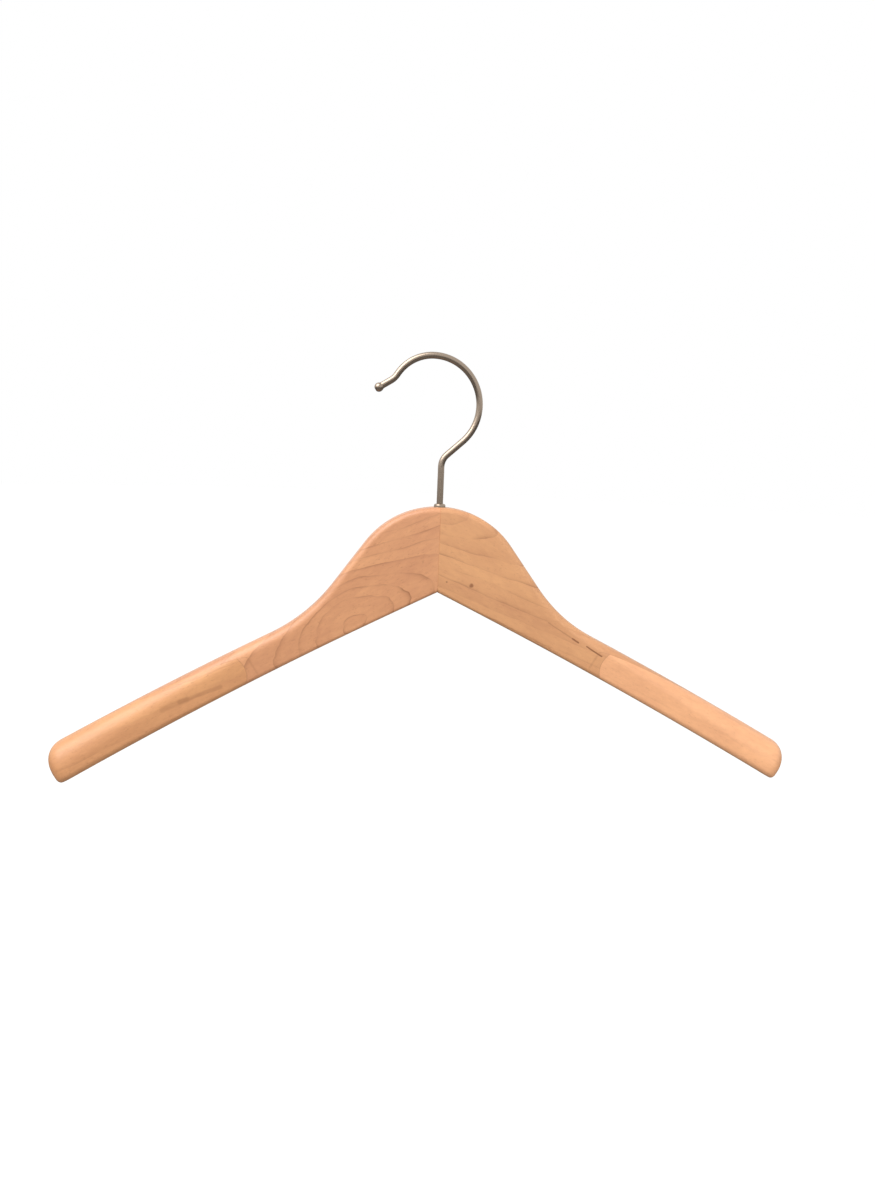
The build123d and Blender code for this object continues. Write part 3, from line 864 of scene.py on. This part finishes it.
def wire_tree():
    """Geometry Nodes that swell a path into wire with a peened end and a headed tip."""
    tree = bpy.data.node_groups.new("hook_wire", "GeometryNodeTree")
    sockets = {}
    kinds = {"Path": "Geometry", **dict.fromkeys(WIRE_SIZES, "Float")}
    kinds.update({"Sides": "Int", "Finish": "Material"})
    for name, kind in kinds.items():
        sockets[name] = tree.interface.new_socket(
            name=name, in_out="INPUT", socket_type=f"NodeSocket{kind}"
        ).identifier
    tree.interface.new_socket(name="Wire", in_out="OUTPUT", socket_type="NodeSocketGeometry")
    given = add(tree, "NodeGroupInput").outputs
    found = {name: given[name] for name in sockets}
    found["travelled"] = add(tree, "GeometryNodeSplineParameter").outputs["Length"]
    found["total"] = add(tree, "GeometryNodeSplineLength").outputs["Length"]
    work_out(tree, found, (
        ("wire", MATHS, "MULTIPLY", "Wire Diameter", 0.5),
        ("ball", MATHS, "MULTIPLY", "Tip Diameter", 0.5),
        ("flat", MATHS, "MULTIPLY", "Tip Flat", 0.5),
        ("ball squared", MATHS, "MULTIPLY", "ball", "ball"),
        ("flat squared", MATHS, "MULTIPLY", "flat", "flat"),
        ("reach", MATHS, "SUBTRACT", "ball squared", "flat squared"),
        ("reach", MATHS, "SQRT", "reach"),
        ("past middle", MATHS, "SUBTRACT", "total", "travelled"),
        ("past middle", MATHS, "SUBTRACT", "past middle", "reach"),
        ("past squared", MATHS, "MULTIPLY", "past middle", "past middle"),
        ("ball here", MATHS, "SUBTRACT", "ball squared", "past squared"),
        ("ball here", MATHS, "MAXIMUM", "ball here", 0.0),
        ("ball here", MATHS, "SQRT", "ball here"),
        ("necked", MATHS, "SMOOTH_MAX", "ball here", "wire", "Neck Blend"),
        ("beyond", MATHS, "LESS_THAN", "past middle", 0.0),
        ("peen end", MATHS, "ADD", "Peen Height", PEEN_STEP / 2),
        ("peened", MATHS, "LESS_THAN", "travelled", "peen end"),
        ("half peen", MATHS, "MULTIPLY", "Peen Height", 0.5),
        ("worked", MATHS, "DIVIDE", "travelled", "half peen"),
        ("worked", RANGE, LINEAR, "worked", 0.0, 1.0, PEEN_FACE, 0.5),
        ("peen", MATHS, "MULTIPLY", "Peen Diameter", "worked"),
    ))
    radius = add(
        tree, MIX, {"Factor": found["beyond"], "A": found["necked"], "B": found["ball here"]},
        data_type="FLOAT",
    )
    radius = add(
        tree, MIX, {"Factor": found["peened"], "A": radius, "B": found["peen"]}, data_type="FLOAT"
    )
    path = add(tree, "GeometryNodeMeshToCurve", {"Mesh": given["Path"]})
    section = add(
        tree, "GeometryNodeCurvePrimitiveCircle", {"Resolution": given["Sides"], "Radius": 1.0}
    )
    skin = add(
        tree, "GeometryNodeCurveToMesh",
        {"Curve": path, "Profile Curve": section, "Scale": radius, "Fill Caps": True},
    )
    real = add(tree, "GeometryNodeRealizeInstances", {"Geometry": skin})
    dressed = add(
        tree, "GeometryNodeSetMaterial", {"Geometry": real, "Material": given["Finish"]}
    )
    add(tree, "NodeGroupOutput", {"Wire": dressed})
    return tree, sockets


# ---- operators ----
BORE_CHAMFER = 0.15 * MM  # round the top of the bush's bore
FLANGE_STEPS = 8  # over the round of the collar


def make_board(scene, name, side, operation, holes):
    """One arm, or the block glued ahead of it, cut from the blank that both share."""
    wood, finish = scene.hanger_wood, scene.hanger_finish
    ahead = block_cutter(wood, side)
    board = skinned(f"{name}_beech", blank_rings(wood), side)
    cut(board, operation, [ahead] + holes)
    material = wood_material(
        f"steamed beech, satin lacquer, {name}".replace("_", " "),
        BOARDS[name], getattr(finish, name.replace("shoulder_", "")), finish,
        glue_marks(wood, side),
    )
    finish_piece(board, HANGER_BODY, name, material)
    discard(ahead)


class HANGER_OT_arms(bpy.types.Operator):
    """Make the two arms, with the bore and the dowel holes at their mitre"""

    bl_idname = "hanger.make_arms"
    bl_label = "Make Arms"

    def execute(self, context):
        scene = context.scene
        holes = [bore_cutter(scene.hanger_hook)] + dowel_cutters(scene.hanger_wood)
        for name, side in (("left_arm", -1), ("right_arm", 1)):
            make_board(scene, name, side, "DIFFERENCE", holes)
        discard(*holes)
        return {"FINISHED"}


class HANGER_OT_shoulder_blocks(bpy.types.Operator):
    """Make the two shoulder blocks glued ahead of the arms"""

    bl_idname = "hanger.make_shoulder_blocks"
    bl_label = "Make Shoulder Blocks"

    def execute(self, context):
        for name, side in (("left_shoulder_block", -1), ("right_shoulder_block", 1)):
            make_board(context.scene, name, side, "INTERSECT", [])
        return {"FINISHED"}


class HANGER_OT_hook(bpy.types.Operator):
    """Make the hook's wire with its peened end and headed tip"""

    bl_idname = "hanger.make_hook"
    bl_label = "Make Hook"

    def execute(self, context):
        hook, finish = context.scene.hanger_hook, context.scene.hanger_finish
        material = metal_material("satin nickel plate on drawn wire", finish.nickel, 0.27)
        route = wire_route(hook)
        mesh = bpy.data.meshes.new("hook_wire")
        mesh.from_pydata(route, [(index, index + 1) for index in range(len(route) - 1)], [])
        mesh.transform(Matrix.Translation(SWIVEL))
        wire = bpy.data.objects.new("hook_wire", mesh)
        context.scene.collection.objects.link(wire)
        tree, sockets = wire_tree()
        swell = wire.modifiers.new("swell", "NODES")
        swell.node_group = tree
        for name in WIRE_SIZES:
            swell[sockets[name]] = getattr(hook, name.lower().replace(" ", "_"))
        swell[sockets["Sides"]] = WIRE_SIDES
        swell[sockets["Finish"]] = material
        skin = evaluated_mesh(wire)
        if not skin.polygons:
            raise RuntimeError("the hook's wire came out empty")
        wire.modifiers.clear()
        wire.data = skin
        finish_piece(wire, HOOK_BODY, "hook", material)
        return {"FINISHED"}


class HANGER_OT_bush(bpy.types.Operator):
    """Make the barbed bush, whose flange is the collar on the wood"""

    bl_idname = "hanger.make_bush"
    bl_label = "Make Swivel Bush"

    def execute(self, context):
        hook, finish = context.scene.hanger_hook, context.scene.hanger_finish
        bore, rim, top = hook.bush_bore / 2, hook.flange_diameter / 2, hook.flange_height
        soft = hook.flange_round
        outline = [(bore + BORE_CHAMFER, top), (bore, top - BORE_CHAMFER), (bore, -hook.bush_length)]
        outline += list(reversed(bush_outside(hook)))
        outline.append((rim, -hook.flange_seat))
        for step in range(FLANGE_STEPS + 1):
            angle = pi / 2 * step / FLANGE_STEPS
            outline.append((rim - soft + soft * cos(angle), top - soft + soft * sin(angle)))
        bush = lathed("swivel_bush_nickel", outline)
        material = metal_material("nickel plate on turned steel", finish.nickel, 0.2)
        finish_piece(bush, HANGER_BODY, "swivel_bush", material)
        return {"FINISHED"}


class HANGER_OT_hidden_fittings(bpy.types.Operator):
    """Dress the washer and the dowels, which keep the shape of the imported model"""

    bl_idname = "hanger.dress_hidden_fittings"
    bl_label = "Dress Washer and Dowels"

    def execute(self, context):
        finish = context.scene.hanger_finish
        for node, material in (
            ("thrust_washer", metal_material("zinc plate on pressed steel", finish.zinc, 0.35)),
            ("mitre_dowels", wood_material(
                "birch dowel rod", BOARDS["mitre_dowels"], finish.right_arm, finish)),
        ):
            slots = frame["nodes"][node].material_slots
            if not slots:
                raise RuntimeError(f"{node} has no material slot")
            for slot in slots:
                slot.material = material
        return {"FINISHED"}


LAMPS = {  # place and width in metres
    "key": ((-0.85, -0.65, 1.15), 1.5),
    "fill": ((0.55, -1.35, 0.15), 1.2),
}
FLOOR_RADIUS, FLOOR_THICKNESS, FLOOR_BEVEL = 9.0, 0.02, 0.004  # metres
FLOOR_GLOW = 0.91  # what the eye sees of the floor beyond the light that falls on it
CAMERA_PLACE = Vector((-51.74, -457.76, 36.72)) * MM  # from the swivel
TURNED, RAISED, ROLLED = radians(-6.557), radians(11.0), radians(2.265)
SENSOR_HEIGHT = 36.0
NEAREST, FARTHEST = 0.01, 50.0


class HANGER_OT_stage(bpy.types.Operator):
    """Make the floor, the soft lamps, the white surroundings and the camera"""

    bl_idname = "hanger.make_stage"
    bl_label = "Make Stage"

    def execute(self, context):
        stage = context.scene.hanger_stage
        low = cad_box[0]
        make_floor(stage, low.z - stage.drop)
        make_surroundings(stage)
        middle = (cad_box[0] + cad_box[1]) / 2
        soft_lamp("key", middle, stage.key_power)
        fill = soft_lamp("fill", middle, stage.fill_power)
        fill.visible_glossy = False
        make_camera(stage)
        context.scene.view_settings.view_transform = "Standard"
        return {"FINISHED"}


def make_floor(stage, height):
    """A wide round floor, white to the eye and plain grey to everything it lights."""
    angles = [2 * pi * step / LATHE_STEPS for step in range(LATHE_STEPS)]
    rings = [
        [(radius * cos(angle), radius * sin(angle), z) for angle in angles]
        for radius, z in (
            (FLOOR_RADIUS, -FLOOR_THICKNESS),
            (FLOOR_RADIUS, -FLOOR_BEVEL),
            (FLOOR_RADIUS - FLOOR_BEVEL, 0.0),
        )
    ]
    floor = skinned("studio_floor", rings)
    floor.data.transform(Matrix.Translation((-SWIVEL.x, -SWIVEL.y, height - SWIVEL.z)))
    material, tree = new_material("matt painted floor")
    eye = add(tree, "ShaderNodeLightPath").outputs["Is Camera Ray"]
    paint = add(tree, "ShaderNodeBsdfDiffuse", {"Color": (*stage.floor, 1.0)})
    white = add(tree, "ShaderNodeEmission", {"Strength": FLOOR_GLOW})
    lit = add(tree, "ShaderNodeAddShader", {0: paint, 1: white})
    seen = add(tree, "ShaderNodeMixShader", {0: eye, 1: paint, 2: lit})
    add(tree, "ShaderNodeOutputMaterial", {"Surface": seen})
    floor.data.materials.append(material)


def make_surroundings(stage):
    """White to the eye and in reflections, and a plain soft light on everything else."""
    world = bpy.data.worlds.new("surroundings")
    bpy.context.scene.world = world
    world.use_nodes = True
    tree = world.node_tree
    tree.nodes.clear()
    path = add(tree, "ShaderNodeLightPath").outputs
    found = {name: path[name] for name in ("Is Camera Ray", "Is Glossy Ray", "Is Transmission Ray")}
    work_out(tree, found, (
        ("seen", MATHS, "MAXIMUM", "Is Camera Ray", "Is Glossy Ray"),
        ("seen", MATHS, "MAXIMUM", "seen", "Is Transmission Ray"),
    ))
    strength = add(
        tree, MIX, {"Factor": found["seen"], "A": stage.ambient, "B": 1.0}, data_type="FLOAT"
    )
    light = add(tree, "ShaderNodeBackground", {"Color": (1, 1, 1, 1), "Strength": strength})
    add(tree, "ShaderNodeOutputWorld", {"Surface": light})


def soft_lamp(name, aim, power):
    """A square soft box turned to face a point."""
    place, size = LAMPS[name]
    light = bpy.data.lights.new(name, "AREA")
    light.size, light.energy = size, power
    lamp = bpy.data.objects.new(name, light)
    lamp.location = place
    lamp.rotation_euler = (Vector(aim) - Vector(place)).to_track_quat("-Z", "Y").to_euler()
    lamp.visible_camera = False
    bpy.context.scene.collection.objects.link(lamp)
    return lamp


def make_camera(stage):
    """A camera a little left of the front and above it, rolled slightly."""
    back = Vector((sin(TURNED) * cos(RAISED), -cos(TURNED) * cos(RAISED), sin(RAISED)))
    right = Vector((cos(TURNED), sin(TURNED), 0))
    up = back.cross(right)
    axes = (
        right * cos(ROLLED) + up * sin(ROLLED),
        up * cos(ROLLED) - right * sin(ROLLED),
        back,
    )
    data = bpy.data.cameras.new("camera")
    data.sensor_fit, data.sensor_height, data.lens = "VERTICAL", SENSOR_HEIGHT, stage.lens
    data.clip_start, data.clip_end = NEAREST, FARTHEST
    camera = bpy.data.objects.new("camera", data)
    facing = Matrix(axes).transposed().to_4x4()
    camera.matrix_world = Matrix.Translation(SWIVEL + CAMERA_PLACE) @ facing
    bpy.context.scene.collection.objects.link(camera)
    bpy.context.scene.camera = camera


class HANGER_PT_panel(bpy.types.Panel):
    """Lists the hanger's operators and their settings"""

    bl_idname = "HANGER_PT_panel"
    bl_label = "Clothes Hanger"
    bl_space_type = "VIEW_3D"
    bl_region_type = "UI"
    bl_category = "Hanger"

    def draw(self, context):
        for operator in OPERATORS:
            self.layout.operator(operator.bl_idname)
        for group in SETTINGS:
            box = self.layout.box()
            settings = getattr(context.scene, group)
            for name in settings.bl_rna.properties.keys():
                if name not in ("rna_type", "name"):
                    box.prop(settings, name)


SETTINGS = {
    "hanger_wood": HangerWoodSizes,
    "hanger_hook": HangerHookSizes,
    "hanger_finish": HangerFinish,
    "hanger_stage": HangerStage,
}
OPERATORS = (
    HANGER_OT_arms,
    HANGER_OT_shoulder_blocks,
    HANGER_OT_hook,
    HANGER_OT_bush,
    HANGER_OT_hidden_fittings,
    HANGER_OT_stage,
)
CLASSES = (*SETTINGS.values(), *OPERATORS, HANGER_PT_panel)


def register():
    for item in CLASSES:
        bpy.utils.register_class(item)
    for name, kind in SETTINGS.items():
        setattr(bpy.types.Scene, name, PointerProperty(type=kind))


def unregister():
    for name in SETTINGS:
        delattr(bpy.types.Scene, name)
    for item in reversed(CLASSES):
        bpy.utils.unregister_class(item)


def main():
    register()
    bpy.ops.hanger.make_arms()
    bpy.ops.hanger.make_shoulder_blocks()
    bpy.ops.hanger.make_hook()
    bpy.ops.hanger.make_bush()
    bpy.ops.hanger.dress_hidden_fittings()
    bpy.ops.hanger.make_stage()
    bpy.context.view_layer.update()


if __name__ == "__main__":
    main()
